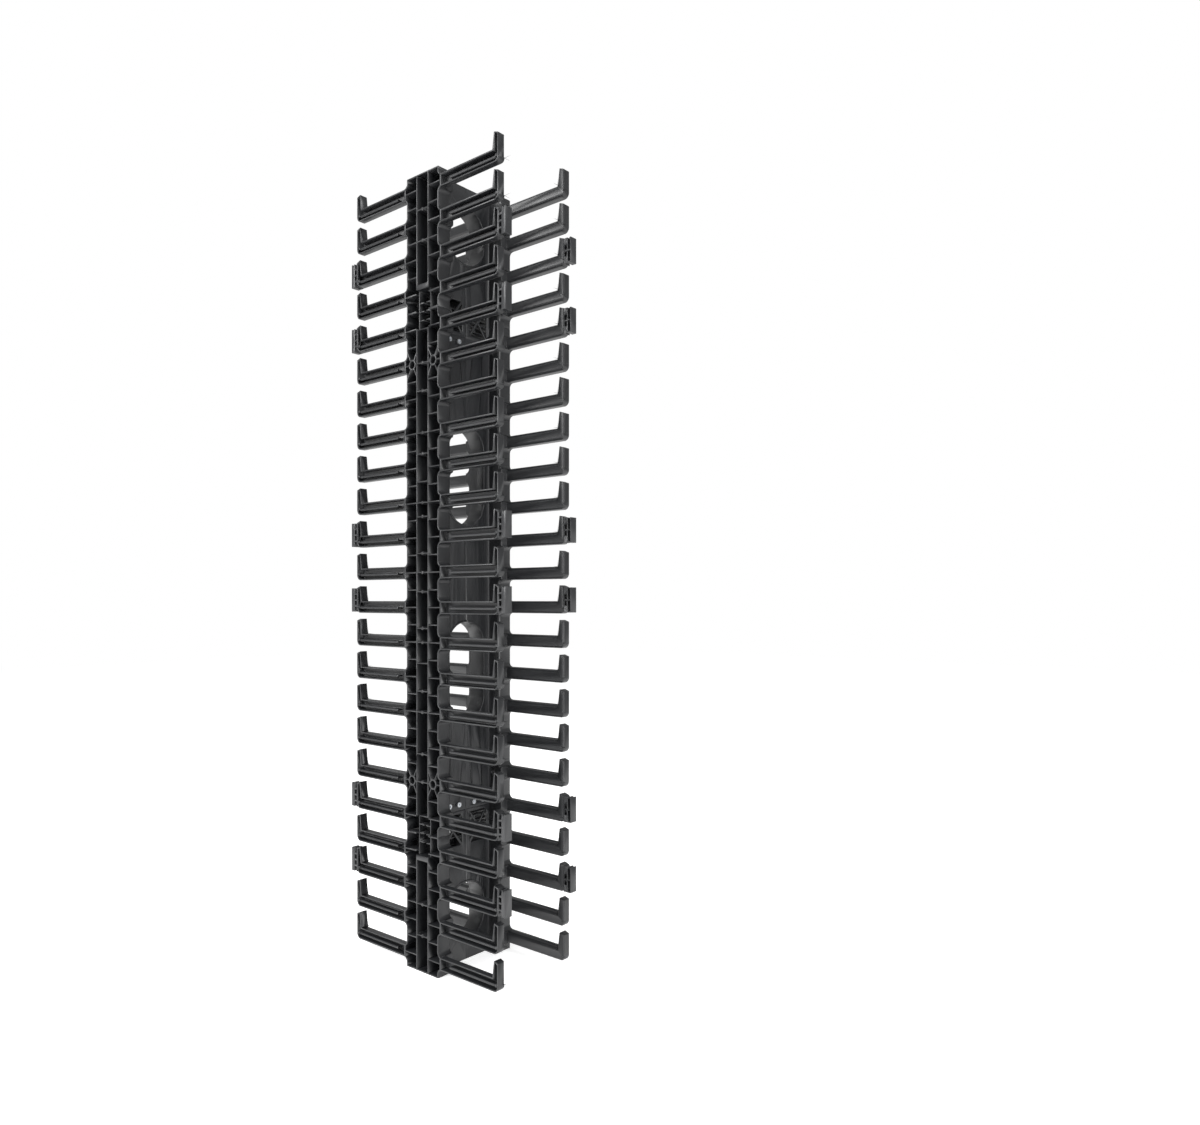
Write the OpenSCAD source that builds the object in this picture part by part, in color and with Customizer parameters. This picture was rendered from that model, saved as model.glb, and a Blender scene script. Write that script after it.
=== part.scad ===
// Vertical cable manager for a rack, double sided, with finger ducts front and rear.
// X runs from the rear (-) to the front (+), Y across the width and Z up; the origin is at the bottom centre.
// Each side wall is a comb of channel-section fingers on a ribbed spine, moulded in one piece with its half
// of the hollow web. The left and right halves meet back to back on the plane Y = 0.

/* [Overall] */
// Overall width over the two side walls
width = 127; // [118:1:160]
// Number of fingers on each edge
fingers = 23; // [21:2:25]
// Spacing of the fingers, one rack unit
pitch = 44.45; // [44:0.05:46]
// Distance from each end to the middle of the nearest finger
end_margin = 19.05; // [17:0.05:24]

/* [Spine] */
// Width of the spine between the finger gaps
spine_w = 61; // [58:0.5:66]
// Depth of the spine from its outer face to the cable side
spine_d = 21.5; // [19:0.5:24]
// Thickness of the spine's floor
floor_t = 2.5; // [1.8:0.1:3.5]
// Thickness of the rims, lips and channel walls
rim = 1.8; // [1.4:0.1:2.2]
// Thickness of the cross ribs
rib_t = 1.6; // [1.2:0.1:2.2]
// Inside width of the centre channel and of the hollow web
channel_w = 20; // [18:0.5:22]
// Corner radius at the inner end of each finger gap
gap_r = 6; // [4:0.5:8]
// How far the fingers' end ribs stand out from the spine
root_out = 4.5; // [3:0.5:5.5]

/* [Fingers] */
// Depth over the fingertips, front to rear
tip_span = 274; // [250:1:300]
// Height of a finger's bar
bar_h = 16; // [14:0.5:18]
// Depth of a finger from the outer face to the cable side
bar_d = 11; // [9:0.5:13]
// Thickness of the finger's wall on the cable side
back_t = 2; // [1.6:0.1:2.6]
// Radius of the rounded edges on the cable side
edge_r = 4; // [2.5:0.5:4.5]
// Rise of the upturned tip above the bar
tip_rise = 20.5; // [19:0.5:22]
// Width of the tip at its top
tip_top_w = 7; // [6:0.5:9]
// Width of the tip where it leaves the bar
tip_base_w = 10; // [9.5:0.5:12]
// Drop of the tip's top towards its outer edge
tip_slant = 2.4; // [1:0.2:4]
// Radius of the outer bottom corner
tip_r = 7; // [4:0.5:7.5]
// Height of the ridge inside the bar above the middle of the bar
ridge_z = -1; // [-2:0.5:2]

/* [Web] */
// Thickness of each half's wall at the seam
seam_t = 2; // [1.5:0.1:3]
// Width of the cable pass-throughs
pass_w = 62; // [54:1:66]
// Height of the two end pass-throughs
end_pass_h = 76; // [70:1:80]
// Height of the two middle pass-throughs
mid_pass_h = 130; // [120:1:134]
// Width of the raised lip round a pass-through
lip_w = 2.4; // [1.8:0.1:3]
// How far that lip stands out from the web
lip_out = 1.2; // [0.8:0.1:2]

/* [Splices] */
// How far the face of a tongue lies behind the spine's outer face
tongue_back = 4.5; // [3:0.5:6]
// Length of the spigot at the end of a tongue
spigot_l = 16; // [13:0.5:18]
// Wall of the spigot
spigot_t = 3; // [2.6:0.1:3.6]
// Clearance round the tongue and the spigot
splice_gap = 0.2; // [0.15:0.05:0.3]

/* [Mounting bosses] */
// Distance between two bosses across the spine
boss_span = 40.4; // [39:0.2:42]
// Outer radius of a boss
boss_r = 6.8; // [6.4:0.1:7.4]
// Radius of the bore that takes the screw's head
boss_bore_r = 4.6; // [4:0.1:5]
// Radius of the screw hole in the floor
mount_hole_r = 3.2; // [2.6:0.1:3.5]

/* [Cover clips] */
// How far a clip stands out from the fingertip
clip_out = 12; // [11:0.5:14]
// Width of a clip's outer post
clip_post_w = 6.6; // [5.6:0.2:7.4]
// Height of a clip
clip_h = 32; // [30:0.5:33]
// Radius of the studs that hold a clip in its fingertip
stud_r = 1.5; // [1.2:0.1:1.6]
// Clearance round a stud
stud_gap = 0.05; // [0.03:0.01:0.08]

/* [Screws] */
// Radius of a screw's shank
screw_r = 1.75; // [1.5:0.05:1.9]
// Clearance round a screw's shank
screw_gap = 0.15; // [0.1:0.05:0.2]
// Radius of a screw's head
head_r = 3.2; // [2.8:0.1:3.5]
// Height of a screw's head
head_h = 2.2; // [1.8:0.1:2.6]

/* [Hidden] */
$fn = 48;
over = 1;                                   // how far a cut runs past the face it opens
height = (fingers - 1) * pitch + 2 * end_margin;
middle = (fingers + 1) / 2;                 // number of the middle finger, counted from the top
half_w = width / 2;
spine_x = spine_w / 2;
root_x = spine_x + root_out;
tip_x = tip_span / 2;
pocket_d = spine_d - floor_t;
recess_d = bar_d - back_t;
channel_x = channel_w / 2;
web_x = channel_x + rim;
web_t = 2 * web_x;
web_core_d = half_w - seam_t;               // depth of the channel, from the outer face to the seam wall
strip_w = root_x - rim - web_x;

end_fingers = 4;                            // fingers on each end section
splice = end_fingers + 0.5;                 // the sections meet in the middle of this gap

function station(s) = height / 2 + (middle - s) * pitch;
function mirrored(list) = concat(list, [for (s = list) fingers + 1 - s]);

tongue_end = station(end_fingers + 1) - rib_t / 2;
tongue_start = station(end_fingers) + 5;
tongue_rib_t = 6.5;
tongue_slot_w = 4.5;
window_in = 0.5;                            // how far a window's cut runs in past the web's skin
window_edge = 5;
brace_w = 3;
spigot_from = spine_d + 4;
splice_screw_depths = [spigot_from + 9, web_core_d - 11];

passes = [[2, end_pass_h], [middle - 2.9, mid_pass_h], [middle + 2.9, mid_pass_h],
          [fingers - 1, end_pass_h]];
boss_fingers = mirrored([6]);
bossed_ribs = mirrored([1.6, 2.5, 6, middle - 5.2, middle - 4, middle - 3.4, middle - 2, middle - 1.6,
                        middle - 0.55, middle]);
plain_ribs = mirrored([middle - 2.6]);
tongue_ribs = [for (k = [1 : 3]) end_fingers + k / 4];
rib_boss_r = 2.2;

seam_screws = mirrored([0.8, 3.4, 6.4, middle - 0.9]);
seam_boss_r = 3.5;
seam_boss_l = 10;
thread_gap = 0.03;                          // clearance round a thread in its boss
peg_r = 1.5;
peg_h = 4.5;
peg_depth = 10;                             // from the outer face to the middle of the peg

tip_edge_r = 2;
ridge_start = 15;                           // from the finger's root to the start of its ridge
ridge_back = 1;                             // how far the ridge's edge lies behind the outer face
stop_r = 2;
seat = 0.2;                                 // how far a rib runs into the wall that carries it

clip_back_t = 1.2;
clip_floor_t = 1.5;
clip_z = bar_h / 2 + tip_rise - clip_h / 2 - 3;
clip_rib_t = 2.3;
clip_rib_pitch = 8.1;
clip_notch = 2;
stud_heights = [clip_z - clip_rib_pitch, clip_z + clip_rib_pitch];
clip_fingers = mirrored([3, 5, middle - 1]);

SIDES = ["left", "right"];
ENDS = ["front", "rear"];
CLIPS = [for (side = [0, 1], end = [0, 1], k = [0 : len(clip_fingers) - 1]) [side, end, k]];
function clip_name(c) = str(SIDES[c[0]], "_", ENDS[c[1]], "_clip_", c[2] + 1);
function holds(list, i) = len([for (v = list) if (v == i) v]) > 0;

// ---- Helpers. A wall is drawn with its outer face at Y = 0 and its seam at Y = half_w. ----

// Extrudes an outline drawn in X and Z into the wall's depth.
module in_depth(from, depth) {
    translate([0, from + depth, 0]) rotate([90, 0, 0]) linear_extrude(depth) children();
}

// Extrudes an outline drawn in Y and Z along X.
module along_x(from, length) {
    translate([from, 0, 0]) rotate([90, 0, 90]) linear_extrude(length) children();
}

// A hole or shank along Y, from one depth to another.
module bore_y(x, from, to, z, r) {
    translate([x, from, z]) rotate([-90, 0, 0]) cylinder(r = r, h = to - from);
}

module both_edges() {
    children();
    mirror([1, 0, 0]) children();
}

module both_edges_2d() {
    children();
    mirror([1, 0]) children();
}

module upside_down() {
    translate([0, 0, height]) mirror([0, 0, 1]) children();
}

module wall_place(side) {
    mirror([0, side, 0]) translate([0, -half_w, 0]) children();
}

// What a rounded edge takes away: a square corner less a quarter circle about the origin.
module corner_waste(r) {
    difference() {
        square(r + over);
        circle(r);
    }
}

// ---- Fingers ----

// An upturned tip and its bar, drawn in X and Z about the bar's middle, and drawn in by inset all round.
module finger_outline(inset) {
    r = tip_r - inset;
    in_x = root_x - rim / 2 + inset;
    out_x = tip_x - inset;
    low = -bar_h / 2 + inset;
    top = bar_h / 2 - inset;
    peak = bar_h / 2 + tip_rise - inset;
    translate([in_x, low]) square([out_x - r - in_x, top - low]);
    translate([out_x - r, low + r]) square([r, top - low - r]);
    intersection() {
        translate([out_x - r, low + r]) circle(r);
        translate([out_x - r, low]) square(r);
    }
    polygon([[tip_x - tip_base_w + inset, top - rim], [out_x, top - rim],
             [out_x, peak - tip_slant], [tip_x - tip_top_w + inset, peak]]);
}

module finger(studded) {
    stop_x = tip_x - rim - stop_r + seat;
    difference() {
        in_depth(0, bar_d) finger_outline(0);
        in_depth(-over, recess_d + over) difference() {
            finger_outline(rim);
            translate([stop_x, 0]) circle(stop_r);
        }
        translate([0, bar_d - edge_r, bar_h / 2 - edge_r])
            along_x(0, tip_x - tip_base_w) corner_waste(edge_r);
        translate([0, bar_d - edge_r, edge_r - bar_h / 2])
            along_x(0, tip_x + over) mirror([0, 1]) corner_waste(edge_r);
        translate([tip_x - tip_edge_r, bar_d - tip_edge_r, tip_r - bar_h / 2])
            linear_extrude(bar_h + tip_rise) corner_waste(tip_edge_r);
        if (studded)
            for (z = stud_heights) translate([tip_x - rim - over, bar_d / 2, z])
                rotate([0, 90, 0]) cylinder(r = stud_r + stud_gap, h = rim + 2 * over);
    }
    translate([root_x + ridge_start, ridge_back, ridge_z - rib_t / 2])
        cube([stop_x - root_x - ridge_start, recess_d - ridge_back + seat, rib_t]);
}

// ---- Spine ----

// The gap between finger i and the next one down, on the front edge, grown by grow all round.
module gap(i, grow) {
    low = (i == fingers ? -pitch : station(i + 1) + bar_h / 2) - grow;
    top = (i == 0 ? height + pitch : station(i) - bar_h / 2) + grow;
    r = gap_r + grow;
    x = spine_x - grow;
    translate([x + r, low]) square([tip_x, top - low]);
    translate([x, low + r]) square([tip_x, top - low - 2 * r]);
    for (z = [low + r, top - r]) translate([x + r, z]) circle(r);
}

// The edge round the inner end of that gap, rolled over towards the cable side.
module gap_roll(i) {
    low = i == fingers ? -pitch : station(i + 1) + bar_h / 2;
    top = i == 0 ? height + pitch : station(i) - bar_h / 2;
    axis_x = spine_x + gap_r;
    translate([spine_x - edge_r, spine_d - edge_r, low + gap_r])
        linear_extrude(top - low - 2 * gap_r) corner_waste(edge_r);
    for (end = [[low + gap_r, 0], [top - gap_r, 1]])
        translate([axis_x, spine_d - edge_r, end[0]]) mirror([0, 0, end[1]]) rotate([-90, 0, 0])
            rotate([0, 0, 90]) rotate_extrude(angle = 90) difference() {
                translate([gap_r - over, 0]) square([edge_r + over, edge_r + over]);
                translate([gap_r + edge_r, 0]) circle(edge_r);
            }
}

module spine_outline(low, top, first, last) {
    difference() {
        translate([-root_x, low]) square([2 * root_x, top - low]);
        both_edges_2d() for (i = [first - 1 : last]) gap(i, 0);
    }
}

// The pockets of one side strip, between its rims, its cross ribs and the mounting bosses.
module strip_pockets(low, top, first, last) {
    difference() {
        translate([web_x, low + rim]) square([strip_w, top - low - 2 * rim]);
        for (i = [first - 1 : last]) gap(i, rim);
        for (k = [2 * first - 1 : 2 * last + 1])
            translate([0, station(k / 2) - rib_t / 2]) square([root_x, rib_t]);
        for (i = boss_fingers) if (i >= first && i <= last)
            translate([boss_span / 2, station(i)]) boss_star();
    }
}

// A round boss and six spokes.
module boss_star() {
    circle(boss_r);
    for (turn = [0 : 60 : 300]) rotate(turn) translate([0, -rib_t / 2]) square([pitch / 2, rib_t]);
}

// ---- Web ----

module racetrack(w, h) {
    translate([-w / 2, -(h - w) / 2]) square([w, h - w]);
    for (s = [-1, 1]) translate([0, s * (h - w) / 2]) circle(w / 2);
}

// Every pass-through between two heights, grown by grow, drawn in Y and Z.
module pass_outlines(low, top, grow) {
    for (p = passes) if (station(p[0]) > low && station(p[0]) < top)
        translate([half_w, station(p[0])]) racetrack(pass_w + 2 * grow, p[1] + 2 * grow);
}

// The open channel, seen from outside, less its cross ribs and their round bosses.
module channel_outline(low, top) {
    difference() {
        translate([-channel_x, low]) square([channel_w, top - low]);
        for (s = concat(bossed_ribs, plain_ribs)) if (station(s) > low && station(s) < top)
            translate([-channel_x, station(s) - rib_t / 2]) square([channel_w, rib_t]);
        for (s = bossed_ribs) if (station(s) > low && station(s) < top)
            translate([0, station(s)]) circle(rib_boss_r);
    }
}

// ---- Sections ----

module screw_bosses(low, top) {
    for (s = seam_screws) if (station(s) > low && station(s) < top)
        bore_y(0, web_core_d - seam_boss_l, half_w, station(s), seam_boss_r);
}

module screw_holes(low, top, side) {
    from = web_core_d - (side == 1 ? seam_boss_l : 0) - over;
    r = screw_r + (side == 1 ? thread_gap : screw_gap);
    for (s = seam_screws) if (station(s) > low && station(s) < top)
        bore_y(0, from, half_w + over, station(s), r);
}

module mount_holes(first, last) {
    for (i = boss_fingers, s = [-1, 1]) if (i >= first && i <= last) {
        bore_y(s * boss_span / 2, -over, pocket_d, station(i), boss_bore_r);
        bore_y(s * boss_span / 2, pocket_d - over, spine_d + over, station(i), mount_hole_r);
    }
}

// The spine and web of one section, with its strips between low and top and its web between
// web_low and web_top. Its children are the outline of the channel's opening.
module core(first, last, low, top, pocket_low, pocket_top, web_low, web_top, side) {
    difference() {
        union() {
            in_depth(0, spine_d) spine_outline(low, top, first, last);
            translate([-web_x, 0, web_low]) cube([web_t, half_w, web_top - web_low]);
            along_x(-web_x - lip_out, web_t + 2 * lip_out) intersection() {
                pass_outlines(web_low, web_top, lip_w);
                square([half_w, height]);
            }
        }
        in_depth(-over, pocket_d + over) both_edges_2d()
            strip_pockets(pocket_low, pocket_top, first, last);
        difference() {
            in_depth(-over, web_core_d + over) children();
            along_x(-web_x, web_t) pass_outlines(web_low, web_top, rim);
            if (side == 1) screw_bosses(web_low, web_top);
        }
        along_x(-2 * web_x, 4 * web_x) pass_outlines(web_low, web_top, 0);
        both_edges() for (i = [first - 1 : last]) gap_roll(i);
        mount_holes(first, last);
        screw_holes(web_low, web_top, side);
    }
}

// Windows between diagonal braces in the tongue's two skins.
module lattice() {
    low = tongue_end + window_edge;
    tall = tongue_start - window_edge - low;
    wide = web_core_d - window_edge - spine_d - window_edge;
    lean = atan2(tall, wide);
    translate([spine_d + window_edge, low]) difference() {
        square([wide, tall]);
        rotate(lean) translate([-wide, -brace_w / 2]) square([4 * wide, brace_w]);
        translate([0, tall]) rotate(-lean) translate([-wide, -brace_w / 2]) square([4 * wide, brace_w]);
    }
}

module spigot() {
    out_x = channel_x - splice_gap;
    deep = web_core_d - splice_gap - spigot_from;
    difference() {
        translate([-out_x, spigot_from, tongue_end - spigot_l]) cube([2 * out_x, deep, spigot_l + rim / 2]);
        translate([spigot_t - out_x, spigot_from + spigot_t, tongue_end - spigot_l - over])
            cube([2 * (out_x - spigot_t), deep - 2 * spigot_t, spigot_l + over]);
        for (y = splice_screw_depths) translate([-out_x - over, y, tongue_end - spigot_l / 2])
            rotate([0, 90, 0]) cylinder(r = screw_r + thread_gap, h = 2 * (out_x + over));
    }
}

// The end section's spine and web, as it stands at the top, with the tongue that reaches down
// between the strips of the middle section.
module end_core(side) {
    low = station(splice) - rib_t / 2;
    difference() {
        core(1, end_fingers, low, height, low + rib_t - rim, height, tongue_end, height, side)
            difference() {
                channel_outline(tongue_end + rim, height - rim);
                translate([-channel_x, tongue_start]) square([channel_w, tongue_rib_t]);
                for (s = tongue_ribs) translate([-channel_x, station(s) - rib_t / 2])
                    square([channel_x - tongue_slot_w / 2, rib_t]);
                for (s = tongue_ribs) translate([tongue_slot_w / 2, station(s) - rib_t / 2])
                    square([channel_x - tongue_slot_w / 2, rib_t]);
            }
        translate([-web_x, -over, tongue_end - over])
            cube([web_t, tongue_back + over, tongue_start - tongue_end + over]);
        both_edges() along_x(channel_x - window_in, rim + window_in + over) lattice();
    }
    spigot();
}

module middle_core(side) {
    top = station(splice) - rib_t / 2 - splice_gap;
    difference() {
        core(end_fingers + 1, fingers - end_fingers, height - top, top, height - top - pitch,
             top + pitch, height - tongue_end, tongue_end, side)
            channel_outline(height - tongue_end - over, tongue_end + over);
        for (z = [tongue_end, height - top - over])
            translate([-web_x - splice_gap, -over, z])
                cube([web_t + 2 * splice_gap, half_w + 2 * over, top - tongue_end + over]);
        for (y = splice_screw_depths, z = [tongue_end - spigot_l / 2, height - tongue_end + spigot_l / 2])
            translate([-web_x - over, y, z])
                rotate([0, 90, 0]) cylinder(r = screw_r + screw_gap, h = web_t + 2 * over);
    }
}

module finger_rows(first, last) {
    for (i = [first : last]) translate([0, 0, station(i)])
        both_edges() finger(holds(clip_fingers, i));
}

module upper_frame(side) {
    color("#232426") wall_place(side) {
        end_core(side);
        finger_rows(1, end_fingers);
        translate([0, peg_depth, height - seat]) cylinder(r = peg_r, h = peg_h + seat);
    }
}

module middle_frame(side) {
    color("#232426") wall_place(side) {
        middle_core(side);
        finger_rows(end_fingers + 1, fingers - end_fingers);
    }
}

module lower_frame(side) {
    color("#232426") wall_place(side) {
        difference() {
            upside_down() end_core(side);
            translate([0, peg_depth, -over]) cylinder(r = peg_r + screw_gap, h = rim + 2 * over);
        }
        finger_rows(fingers - end_fingers + 1, fingers);
    }
}

// ---- Cover clips ----

// A clip on the front edge of a wall, with its outer face at Y = 0, seated on the fingertip.
module clip() {
    post_x = clip_out - clip_post_w;
    cell_h = clip_h / 2 - 3 * clip_floor_t / 2;
    translate([tip_x, 0, clip_z]) difference() {
        translate([0, 0, -clip_h / 2]) cube([clip_out, bar_d, clip_h]);
        difference() {
            in_depth(-over, bar_d - clip_floor_t + over)
                translate([clip_back_t, -clip_h / 2 - over]) square([post_x - clip_back_t, clip_h + 2 * over]);
            for (k = [-1 : 1]) translate([0, 0, k * clip_rib_pitch - clip_rib_t / 2])
                cube([clip_out, bar_d, clip_rib_t]);
        }
        for (s = [-1, 1]) translate([clip_back_t, 0, s * clip_rib_pitch / 2 - (clip_rib_pitch - clip_rib_t) / 2])
            cube([post_x - clip_back_t, bar_d + over, clip_rib_pitch - clip_rib_t]);
        for (s = [-1, 1]) translate([post_x + clip_floor_t, clip_floor_t * 2,
                                     s * (cell_h + clip_floor_t) / 2 - cell_h / 2])
            cube([clip_post_w - 2 * clip_floor_t, bar_d, cell_h]);
        in_depth(-over, bar_d + 2 * over) translate([(post_x + clip_out) / 2, clip_h / 2])
            rotate(45) square(clip_notch * sqrt(2), center = true);
    }
    for (z = stud_heights) translate([tip_x - rim - stud_r / 2, bar_d / 2, z])
        rotate([0, 90, 0]) cylinder(r = stud_r, h = rim + stud_r / 2 + clip_back_t);
}

module placed_clip(c) {
    color("#2a2b2d") wall_place(c[0]) mirror([c[1], 0, 0])
        translate([0, 0, station(clip_fingers[c[2]])]) clip();
}

// ---- Screws ----

// A pan-head screw along Z, with its head below the seat at Z = 0.
module screw(length) {
    difference() {
        translate([0, 0, -head_h]) cylinder(r = head_r, h = head_h);
        translate([0, 0, -head_h - over]) cylinder(r = head_r / 2, h = head_h / 2 + over, $fn = 6);
    }
    cylinder(r = screw_r, h = length);
}

module seam_screw_set() {
    color("#8d9094") for (s = seam_screws) translate([0, -seam_t, station(s)])
        rotate([-90, 0, 0]) screw(2 * seam_t + seam_boss_l - 2);
}

// Both halves' splice screws at the upper joint, with their heads on the web's faces.
module splice_screw_set() {
    color("#8d9094") for (side = [0, 1], y = splice_screw_depths) wall_place(side) both_edges()
        translate([web_x, y, tongue_end - spigot_l / 2]) rotate([0, -90, 0])
            screw(rim + splice_gap + spigot_t);
}

for (side = [0, 1]) {
    upper_frame(side);
    middle_frame(side);
    lower_frame(side);
}
for (c = CLIPS) placed_clip(c);
seam_screw_set();  // seam_screws
splice_screw_set();  // upper_splice_screws
upside_down() splice_screw_set();  // lower_splice_screws
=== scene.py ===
"""Looks, stage and camera of a double-sided vertical cable manager for a rack."""

import math

import bmesh
import bpy
from mathutils import Matrix, Vector


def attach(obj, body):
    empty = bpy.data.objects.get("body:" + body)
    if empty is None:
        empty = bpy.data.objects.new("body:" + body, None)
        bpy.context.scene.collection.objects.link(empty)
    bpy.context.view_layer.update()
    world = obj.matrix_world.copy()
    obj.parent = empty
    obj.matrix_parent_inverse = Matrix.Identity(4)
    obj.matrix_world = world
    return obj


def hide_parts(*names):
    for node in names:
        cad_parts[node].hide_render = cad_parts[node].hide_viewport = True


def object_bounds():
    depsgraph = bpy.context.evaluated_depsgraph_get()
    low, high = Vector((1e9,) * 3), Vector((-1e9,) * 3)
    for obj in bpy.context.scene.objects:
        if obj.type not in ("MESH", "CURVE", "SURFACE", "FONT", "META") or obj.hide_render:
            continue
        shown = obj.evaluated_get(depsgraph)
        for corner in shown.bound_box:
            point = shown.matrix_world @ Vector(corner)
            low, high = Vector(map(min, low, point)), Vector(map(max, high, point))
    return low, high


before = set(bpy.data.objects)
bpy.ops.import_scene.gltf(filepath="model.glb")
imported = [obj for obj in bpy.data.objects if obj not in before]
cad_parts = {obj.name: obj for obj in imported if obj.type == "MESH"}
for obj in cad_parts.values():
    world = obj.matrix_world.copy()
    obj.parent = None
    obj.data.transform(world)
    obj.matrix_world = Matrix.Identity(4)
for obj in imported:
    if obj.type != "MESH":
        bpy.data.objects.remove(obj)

bl_info = {
    "name": "Vertical cable manager",
    "version": (1, 0, 0),
    "blender": (4, 5, 0),
    "location": "View3D > Sidebar > Cable manager",
    "description": "Finishes the moulded frames, cover clips and screws, and sets the stage",
    "category": "Object",
}

MM = 0.001
PITCH = 44.45 * MM              # from one finger to the next
FINGERS = 23                    # down each edge
SPINE_HEIGHT = 1016 * MM
TOP_FINGER_Z = SPINE_HEIGHT / 2 + (FINGERS - 1) / 2 * PITCH
BEAD_LENGTH = 78 * MM
BEAD_MIDDLE_X = 91 * MM         # from the manager's middle to a bead's middle
BEAD_BACK = 0.9 * MM            # how far a bead lies behind the wall's outer face
BEAD_DROP = 1.0 * MM            # how far a bead lies under the middle of its finger
CLIP_PAIR_STEP = -2 * PITCH     # between the clips of one cover
CLIP_GROUP_STEP = -8 * PITCH    # between one cover's clips and the next cover's

MERGE_DISTANCE = 0.002 * MM
BEVEL_SEGMENTS = 2
BEVEL_ANGLE = math.radians(40)  # an edge sharper than this gets a mould radius
SMOOTH_ANGLE = math.radians(35)
ROUND_SIDES = 20                # round a bead
BALL_RINGS = 10                 # from end to end of a bead's rounded end

FLOW_SPACING = 60 * MM          # between the places where the melt flowed and cooled differently
CLOUD_SPACING = 1.2 * MM        # between the cloudy patches of the plating
GRAIN_DEPTH = 0.06 * MM
FLOOR_LEVEL = 0.62
FLOOR_HALF_SIZE = 6.0
FLOOR_DROP = 0.2 * MM           # how far the floor lies under the foot
LAMPS = (                       # name, place, size and power in watts
    ("Key lamp", (-0.5, -2.2, 1.5), (1.6, 1.6), 85),
    ("Fill lamp", (2.3, -0.4, 0.9), (1.2, 1.8), 40),
    ("Top lamp", (0.1, -0.3, 2.8), (1.5, 1.5), 30),
)
CAMERA_PLACE = (0.888, -0.7975, 0.473)
CAMERA_TURN = math.radians(39.11)
CAMERA_LENS = 26.67
CAMERA_SHIFT_Y = 0.03125

CAD_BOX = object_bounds()
SECTIONS = [f"{side}_{part}_frame"
            for side in ("left", "right") for part in ("upper", "middle", "lower")]
CLIP_NODES = [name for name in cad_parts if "_clip_" in name]
SCREW_NODES = [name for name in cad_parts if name.endswith("_screws")]


# ---- Helpers ----

def linear(hex_colour):
    """Turns an sRGB hex colour into linear RGBA."""
    channels = [int(hex_colour[i:i + 2], 16) / 255 for i in (1, 3, 5)]
    return tuple(c / 12.92 if c <= 0.04045 else ((c + 0.055) / 1.055) ** 2.4 for c in channels) + (1.0,)


def add_node(tree, kind, inputs=None, **settings):
    """Adds a node and sets its properties. An input is linked to a socket, or set to a plain value."""
    node = tree.nodes.new(kind)
    for name, value in settings.items():
        setattr(node, name, value)
    for name, value in (inputs or {}).items():
        if isinstance(value, bpy.types.NodeSocket):
            tree.links.new(value, node.inputs[name])
        else:
            node.inputs[name].default_value = value
    return node


def settings_of(context):
    """The manager's settings in the scene."""
    return context.scene.cable_manager


def linked(name, mesh):
    """A new object for a mesh, at the origin, in the scene's collection."""
    piece = bpy.data.objects.new(name, mesh)
    bpy.context.scene.collection.objects.link(piece)
    return piece


def merged_copy(node):
    """A copy of a CAD node's mesh with its doubled corners merged and no material."""
    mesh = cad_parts[node].data.copy()
    shape = bmesh.new()
    shape.from_mesh(mesh)
    bmesh.ops.remove_doubles(shape, verts=shape.verts, dist=MERGE_DISTANCE)
    shape.to_mesh(mesh)
    shape.free()
    mesh.materials.clear()
    return mesh


def soften(piece, width):
    """Rounds a piece's sharp edges."""
    bevel = piece.modifiers.new("Mould radius", "BEVEL")
    bevel.width = width
    bevel.segments = BEVEL_SEGMENTS
    bevel.limit_method = "ANGLE"
    bevel.angle_limit = BEVEL_ANGLE
    bevel.use_clamp_overlap = False
    bevel.harden_normals = True
    bevel.miter_outer = "MITER_ARC"


def applied(piece, name):
    """Turns a piece's modifiers into a plain mesh and returns it as a new object."""
    ready = piece.evaluated_get(bpy.context.evaluated_depsgraph_get())
    mesh = bpy.data.meshes.new_from_object(ready)
    mesh.name = name
    bpy.data.objects.remove(piece)
    result = linked(name, mesh)
    result.data.shade_smooth()
    result.data.set_sharp_from_angle(angle=SMOOTH_ANGLE)
    return result


def new_tree(name, inputs):
    """Makes a geometry node tree. Returns it, its group input and its inputs' identifiers."""
    tree = bpy.data.node_groups.new(name, "GeometryNodeTree")
    tree.interface.new_socket(name="Geometry", in_out="INPUT", socket_type="NodeSocketGeometry")
    tree.interface.new_socket(name="Geometry", in_out="OUTPUT", socket_type="NodeSocketGeometry")
    sockets = {label: tree.interface.new_socket(name=label, in_out="INPUT", socket_type=kind).identifier
               for label, kind in inputs.items()}
    return tree, add_node(tree, "NodeGroupInput"), sockets


def finish_tree(tree, geometry, group):
    """Mirrors a tree's geometry on to both edges and both walls, makes it real and sets its material."""
    for axis in ((-1.0, 1.0, 1.0), (1.0, -1.0, 1.0)):
        turned = add_node(tree, "GeometryNodeTransform", {"Geometry": geometry, "Scale": axis})
        outward = add_node(tree, "GeometryNodeFlipFaces", {"Mesh": turned.outputs["Geometry"]})
        joined = add_node(tree, "GeometryNodeJoinGeometry", {"Geometry": outward.outputs["Mesh"]})
        tree.links.new(geometry, joined.inputs["Geometry"])
        geometry = joined.outputs["Geometry"]
    real = add_node(tree, "GeometryNodeRealizeInstances", {"Geometry": geometry})
    painted = add_node(tree, "GeometryNodeSetMaterial",
                       {"Geometry": real.outputs["Geometry"], "Material": group.outputs["Material"]})
    add_node(tree, "NodeGroupOutput", {"Geometry": painted.outputs["Geometry"]})


def copies(tree, shape, count, step):
    """Real copies of a shape, spaced down a vertical line."""
    gap = add_node(tree, "ShaderNodeCombineXYZ", {"Z": step})
    line = add_node(tree, "GeometryNodeMeshLine", {"Count": count, "Offset": gap.outputs["Vector"]})
    placed = add_node(tree, "GeometryNodeInstanceOnPoints", {
        "Points": line.outputs["Mesh"], "Instance": shape})
    real = add_node(tree, "GeometryNodeRealizeInstances", {"Geometry": placed.outputs["Instances"]})
    return real.outputs["Geometry"]


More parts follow.
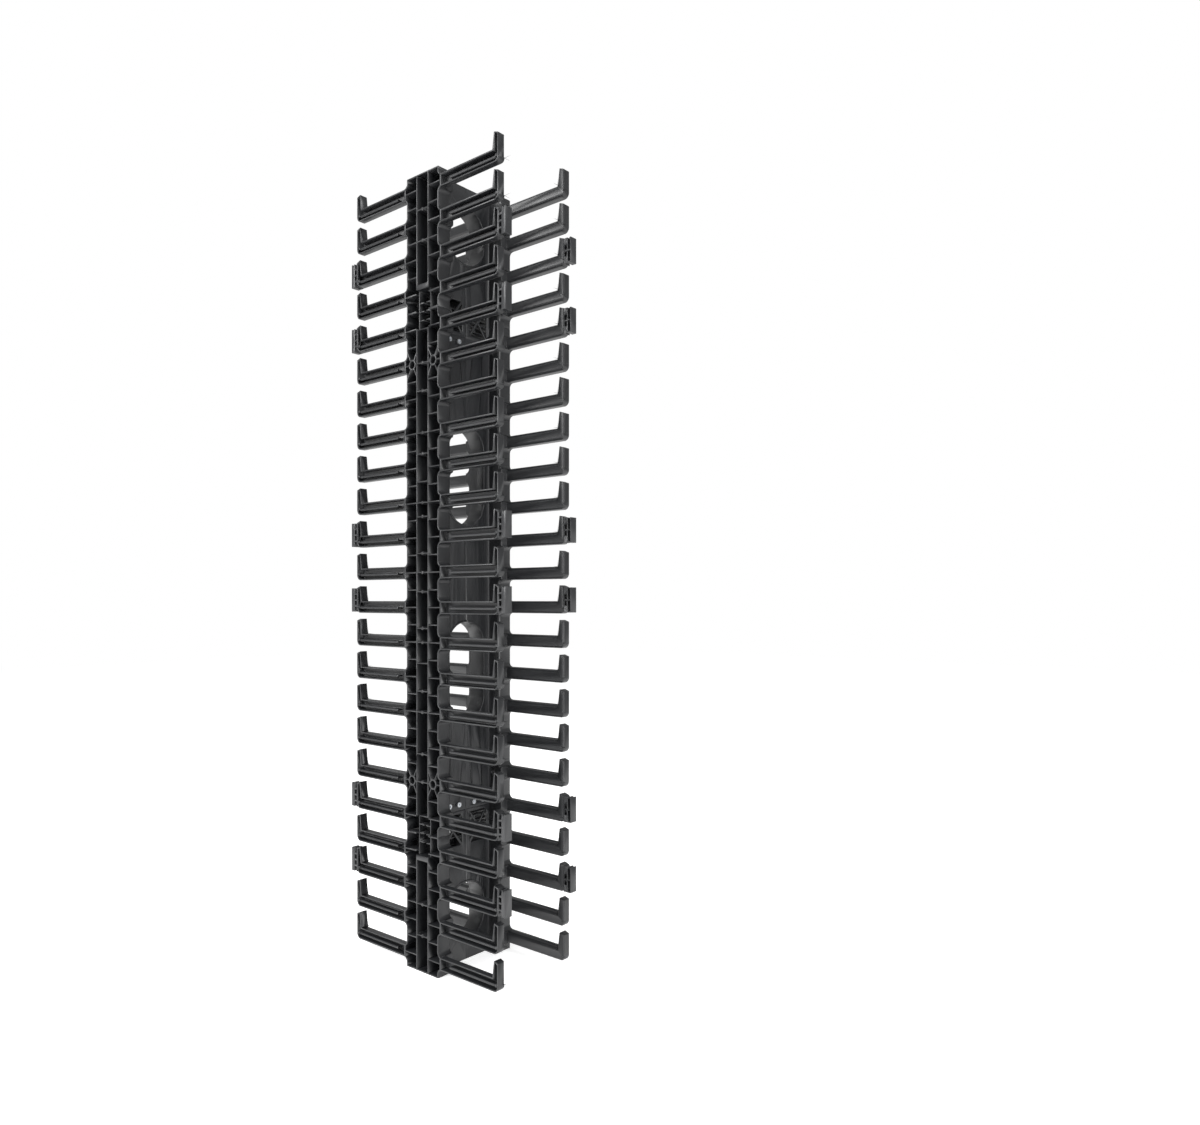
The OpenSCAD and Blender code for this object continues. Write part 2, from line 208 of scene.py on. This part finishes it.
def with_tree(piece, tree, sockets, values):
    """Adds the tree to a piece as a modifier and sets its inputs."""
    modifier = piece.modifiers.new(tree.name, "NODES")
    modifier.node_group = tree
    for label, value in values.items():
        modifier[sockets[label]] = value


# ---- Materials ----

def new_material(name):
    """Makes a node material. Returns it, its tree, its shader and its Object coordinates."""
    material = bpy.data.materials.new(name)
    material.use_nodes = True
    tree = material.node_tree
    place = add_node(tree, "ShaderNodeTexCoord").outputs["Object"]
    return material, tree, tree.nodes["Principled BSDF"], place


def moulded_plastic(name, colour, roughness, grain_mm):
    """Injection-moulded ABS with a fine spark-eroded grain, and a gloss that drifts where the melt flowed."""
    material, tree, shader, place = new_material(name)
    dark, light = (tuple(c * shade for c in colour[:3]) + (1.0,) for shade in (0.88, 1.12))
    flow = add_node(tree, "ShaderNodeTexNoise", {
        "Vector": place, "Scale": 1 / FLOW_SPACING, "Detail": 3.0, "Roughness": 0.55})
    grain = add_node(tree, "ShaderNodeTexNoise", {
        "Vector": place, "Scale": 1 / (grain_mm * MM), "Detail": 2.0, "Roughness": 0.6})
    gloss = add_node(tree, "ShaderNodeMapRange", {
        "Value": flow.outputs["Fac"], "From Min": 0.3, "From Max": 0.7,
        "To Min": roughness - 0.05, "To Max": roughness + 0.07})
    tone = add_node(tree, "ShaderNodeMix", {
        "Factor": flow.outputs["Fac"], "A": dark, "B": light}, data_type="RGBA")
    bump = add_node(tree, "ShaderNodeBump", {
        "Height": grain.outputs["Fac"], "Strength": 0.18, "Distance": GRAIN_DEPTH})
    tree.links.new(tone.outputs["Result"], shader.inputs["Base Color"])
    tree.links.new(gloss.outputs["Result"], shader.inputs["Roughness"])
    tree.links.new(bump.outputs["Normal"], shader.inputs["Normal"])
    shader.inputs["IOR"].default_value = 1.53
    return material


def zinc_plated_steel(name, colour):
    """Bright zinc plating over steel: a cool grey with soft, cloudy gloss."""
    material, tree, shader, place = new_material(name)
    cloud = add_node(tree, "ShaderNodeTexNoise", {
        "Vector": place, "Scale": 1 / CLOUD_SPACING, "Detail": 3.0, "Roughness": 0.6})
    gloss = add_node(tree, "ShaderNodeMapRange", {
        "Value": cloud.outputs["Fac"], "From Min": 0.3, "From Max": 0.7, "To Min": 0.24, "To Max": 0.4})
    tree.links.new(gloss.outputs["Result"], shader.inputs["Roughness"])
    shader.inputs["Base Color"].default_value = colour
    shader.inputs["Metallic"].default_value = 1.0
    return material


def studio_white(name, level):
    """Matt white paper, brightened for the camera and for gloss so that it reads as an even sweep."""
    material = bpy.data.materials.new(name)
    material.use_nodes = True
    tree = material.node_tree
    tree.nodes.clear()
    paper = add_node(tree, "ShaderNodeBsdfDiffuse", {"Color": (0.8, 0.8, 0.8, 1.0)})
    shine = add_node(tree, "ShaderNodeEmission", {"Color": (1.0, 1.0, 1.0, 1.0), "Strength": level})
    lit = add_node(tree, "ShaderNodeAddShader", {0: paper.outputs["BSDF"], 1: shine.outputs["Emission"]})
    seen = add_node(tree, "ShaderNodeLightPath")
    direct = add_node(tree, "ShaderNodeMath", {
        0: seen.outputs["Is Camera Ray"], 1: seen.outputs["Is Glossy Ray"]}, operation="MAXIMUM")
    any_sight = add_node(tree, "ShaderNodeMath", {
        0: direct.outputs["Value"], 1: seen.outputs["Is Transmission Ray"]}, operation="MAXIMUM")
    choice = add_node(tree, "ShaderNodeMixShader", {
        "Fac": any_sight.outputs["Value"], 1: paper.outputs["BSDF"], 2: lit.outputs["Shader"]})
    add_node(tree, "ShaderNodeOutputMaterial", {"Surface": choice.outputs["Shader"]})
    return material


# ---- Properties ----

class CableManagerSettings(bpy.types.PropertyGroup):
    """Sizes and colours of the finished manager."""

    frame_colour: bpy.props.StringProperty(
        name="Frame colour", description="sRGB hex colour of the moulded frames", default="#1b1c1e")
    clip_colour: bpy.props.StringProperty(
        name="Clip colour", description="sRGB hex colour of the cover clips", default="#202123")
    screw_colour: bpy.props.StringProperty(
        name="Screw colour", description="sRGB hex colour of the zinc plating", default="#c3c6ca")
    frame_radius: bpy.props.FloatProperty(
        name="Frame edge radius", description="Mould radius on the frames' edges",
        default=0.45 * MM, min=0.05 * MM, max=0.6 * MM, precision=5, subtype="DISTANCE", unit="LENGTH")
    clip_radius: bpy.props.FloatProperty(
        name="Clip edge radius", description="Mould radius on the clips' edges",
        default=0.3 * MM, min=0.05 * MM, max=0.5 * MM, precision=5, subtype="DISTANCE", unit="LENGTH")
    bead_radius: bpy.props.FloatProperty(
        name="Bead radius", description="Radius of the stiffening bead inside each finger",
        default=1.9 * MM, min=0.8 * MM, max=2.5 * MM, precision=5, subtype="DISTANCE", unit="LENGTH")
    grain: bpy.props.FloatProperty(
        name="Grain",
        description="Size of the mould's grain in millimetres, coarser than real so that it shows",
        default=0.9, min=0.2, max=3.0)


# ---- Operators ----

class CABLE_OT_frames(bpy.types.Operator):
    """Gives the six moulded frames their mould radii and plastic"""
    bl_idname = "cable.frames"
    bl_label = "Moulded frames"

    def execute(self, context):
        look = settings_of(context)
        colour = linear(look.frame_colour)
        plastic = moulded_plastic("Moulded ABS, spark-eroded grain", colour, 0.36, look.grain)
        for name in SECTIONS:
            piece = linked(name + "_blank", merged_copy(name))
            soften(piece, look.frame_radius)
            piece = applied(piece, name + "_moulding")
            piece.data.materials.append(plastic)
            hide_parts(name)
            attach(piece, "root")
        return {"FINISHED"}


class CABLE_OT_clips(bpy.types.Operator):
    """Gives the cover clips their mould radii and plastic"""
    bl_idname = "cable.clips"
    bl_label = "Cover clips"

    def execute(self, context):
        look = settings_of(context)
        plastic = moulded_plastic("Moulded ABS clip", linear(look.clip_colour), 0.38, look.grain)
        tree, group, sockets = new_tree("Clips on their fingers", {
            "Pair step": "NodeSocketFloat", "Group step": "NodeSocketFloat",
            "Material": "NodeSocketMaterial"})
        pair = copies(tree, group.outputs["Geometry"], 2, group.outputs["Pair step"])
        finish_tree(tree, copies(tree, pair, 3, group.outputs["Group step"]), group)
        piece = linked("clip_blank", merged_copy("right_front_clip_1"))
        soften(piece, look.clip_radius)
        with_tree(piece, tree, sockets, {
            "Pair step": CLIP_PAIR_STEP, "Group step": CLIP_GROUP_STEP, "Material": plastic})
        piece = applied(piece, "cover_clips")
        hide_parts(*CLIP_NODES)
        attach(piece, "root")
        return {"FINISHED"}


class CABLE_OT_ridges(bpy.types.Operator):
    """Lays the rounded stiffening bead inside every finger"""
    bl_idname = "cable.ridges"
    bl_label = "Finger beads"

    def execute(self, context):
        look = settings_of(context)
        plastic = moulded_plastic("Moulded ABS bead", linear(look.frame_colour), 0.4, look.grain)
        tree, group, sockets = new_tree("Beads in the fingers", {
            "Fingers": "NodeSocketInt", "Step": "NodeSocketFloat", "Bead radius": "NodeSocketFloat",
            "Bead length": "NodeSocketFloat", "First bead": "NodeSocketVector",
            "Material": "NodeSocketMaterial"})
        rod = add_node(tree, "GeometryNodeMeshCylinder", {
            "Radius": group.outputs["Bead radius"], "Depth": group.outputs["Bead length"],
            "Vertices": ROUND_SIDES}, fill_type="NONE")
        ends = add_node(tree, "GeometryNodeMeshUVSphere", {
            "Radius": group.outputs["Bead radius"], "Segments": ROUND_SIDES, "Rings": BALL_RINGS})
        joined = add_node(tree, "GeometryNodeJoinGeometry", {"Geometry": rod.outputs["Mesh"]})
        for share in (-0.5, 0.5):
            reach = add_node(tree, "ShaderNodeMath", {
                0: group.outputs["Bead length"], 1: share}, operation="MULTIPLY")
            shift = add_node(tree, "ShaderNodeCombineXYZ", {"Z": reach.outputs["Value"]})
            ball = add_node(tree, "GeometryNodeTransform", {
                "Geometry": ends.outputs["Mesh"], "Translation": shift.outputs["Vector"]})
            tree.links.new(ball.outputs["Geometry"], joined.inputs["Geometry"])
        laid = add_node(tree, "GeometryNodeTransform", {
            "Geometry": joined.outputs["Geometry"], "Translation": group.outputs["First bead"],
            "Rotation": (0.0, math.pi / 2, 0.0)})
        row = copies(tree, laid.outputs["Geometry"], group.outputs["Fingers"], group.outputs["Step"])
        finish_tree(tree, row, group)
        piece = linked("bead_blank", bpy.data.meshes.new("bead_blank"))
        first = (BEAD_MIDDLE_X, CAD_BOX[0][1] + BEAD_BACK + look.bead_radius, TOP_FINGER_Z - BEAD_DROP)
        with_tree(piece, tree, sockets, {
            "Fingers": FINGERS, "Step": -PITCH, "Bead radius": look.bead_radius, "Bead length": BEAD_LENGTH,
            "First bead": first, "Material": plastic})
        piece = applied(piece, "finger_beads")
        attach(piece, "root")
        return {"FINISHED"}


class CABLE_OT_screws(bpy.types.Operator):
    """Plates the seam and splice screws"""
    bl_idname = "cable.screws"
    bl_label = "Screws"

    def execute(self, context):
        plating = zinc_plated_steel("Zinc-plated steel", linear(settings_of(context).screw_colour))
        for name in SCREW_NODES:
            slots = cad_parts[name].data.materials
            slots.clear()
            slots.append(plating)
        return {"FINISHED"}


def area_lamp(name, place, target, size, power):
    """Adds a rectangular lamp that faces a target."""
    lamp = bpy.data.lights.new(name, "AREA")
    lamp.shape = "RECTANGLE"
    lamp.size, lamp.size_y = size
    lamp.energy = power
    item = bpy.data.objects.new(name, lamp)
    item.location = place
    item.rotation_euler = (Vector(target) - Vector(place)).to_track_quat("-Z", "Y").to_euler()
    bpy.context.scene.collection.objects.link(item)


class CABLE_OT_stage(bpy.types.Operator):
    """Lays the white sweep and sets the lamps and the camera"""
    bl_idname = "cable.stage"
    bl_label = "Stage, lamps and camera"

    def execute(self, context):
        scene = context.scene
        low, high = CAD_BOX
        sweep = bmesh.new()
        bmesh.ops.create_grid(sweep, x_segments=1, y_segments=1, size=FLOOR_HALF_SIZE,
                              matrix=Matrix.Translation((0, 0, low[2] - FLOOR_DROP)))
        mesh = bpy.data.meshes.new("Floor")
        sweep.to_mesh(mesh)
        sweep.free()
        mesh.materials.append(studio_white("Matt white paper", FLOOR_LEVEL))
        floor = linked("Floor", mesh)

        world = bpy.data.worlds.new("Studio")
        scene.world = world
        world.use_nodes = True
        tree = world.node_tree
        tree.nodes.clear()
        ambient = add_node(tree, "ShaderNodeBackground", {"Color": (1, 1, 1, 1), "Strength": 0.45})
        backdrop = add_node(tree, "ShaderNodeBackground", {"Color": (1, 1, 1, 1), "Strength": 1.0})
        seen = add_node(tree, "ShaderNodeLightPath")
        choice = add_node(tree, "ShaderNodeMixShader", {
            "Fac": seen.outputs["Is Camera Ray"], 1: ambient.outputs["Background"],
            2: backdrop.outputs["Background"]})
        add_node(tree, "ShaderNodeOutputWorld", {"Surface": choice.outputs["Shader"]})

        middle = [(a + b) / 2 for a, b in zip(low, high)]
        for name, place, size, power in LAMPS:
            area_lamp(name, place, middle, size, power)

        camera = bpy.data.cameras.new("Camera")
        camera.sensor_width = 36.0
        camera.sensor_fit = "HORIZONTAL"
        camera.lens = CAMERA_LENS
        camera.shift_y = CAMERA_SHIFT_Y
        item = bpy.data.objects.new("Camera", camera)
        item.location = CAMERA_PLACE
        item.rotation_euler = (math.radians(90), 0, CAMERA_TURN)
        scene.collection.objects.link(item)
        scene.camera = item
        scene.view_settings.view_transform = "Standard"
        return {"FINISHED"}


class CABLE_PT_panel(bpy.types.Panel):
    """Lists the steps that finish the manager"""
    bl_label = "Cable manager"
    bl_idname = "CABLE_PT_panel"
    bl_space_type = "VIEW_3D"
    bl_region_type = "UI"
    bl_category = "Cable manager"

    def draw(self, context):
        look = settings_of(context)
        for name in look.bl_rna.properties.keys():
            if name not in {"rna_type", "name"}:
                self.layout.prop(look, name)
        for step in STEPS:
            self.layout.operator(step.bl_idname)


STEPS = (CABLE_OT_frames, CABLE_OT_ridges, CABLE_OT_clips, CABLE_OT_screws, CABLE_OT_stage)
CLASSES = (CableManagerSettings,) + STEPS + (CABLE_PT_panel,)


def register():
    for item in CLASSES:
        bpy.utils.register_class(item)
    bpy.types.Scene.cable_manager = bpy.props.PointerProperty(type=CableManagerSettings)


def unregister():
    del bpy.types.Scene.cable_manager
    for item in reversed(CLASSES):
        bpy.utils.unregister_class(item)


def main():
    register()
    bpy.ops.cable.frames()
    bpy.ops.cable.ridges()
    bpy.ops.cable.clips()
    bpy.ops.cable.screws()
    bpy.ops.cable.stage()


if __name__ == "__main__":
    main()
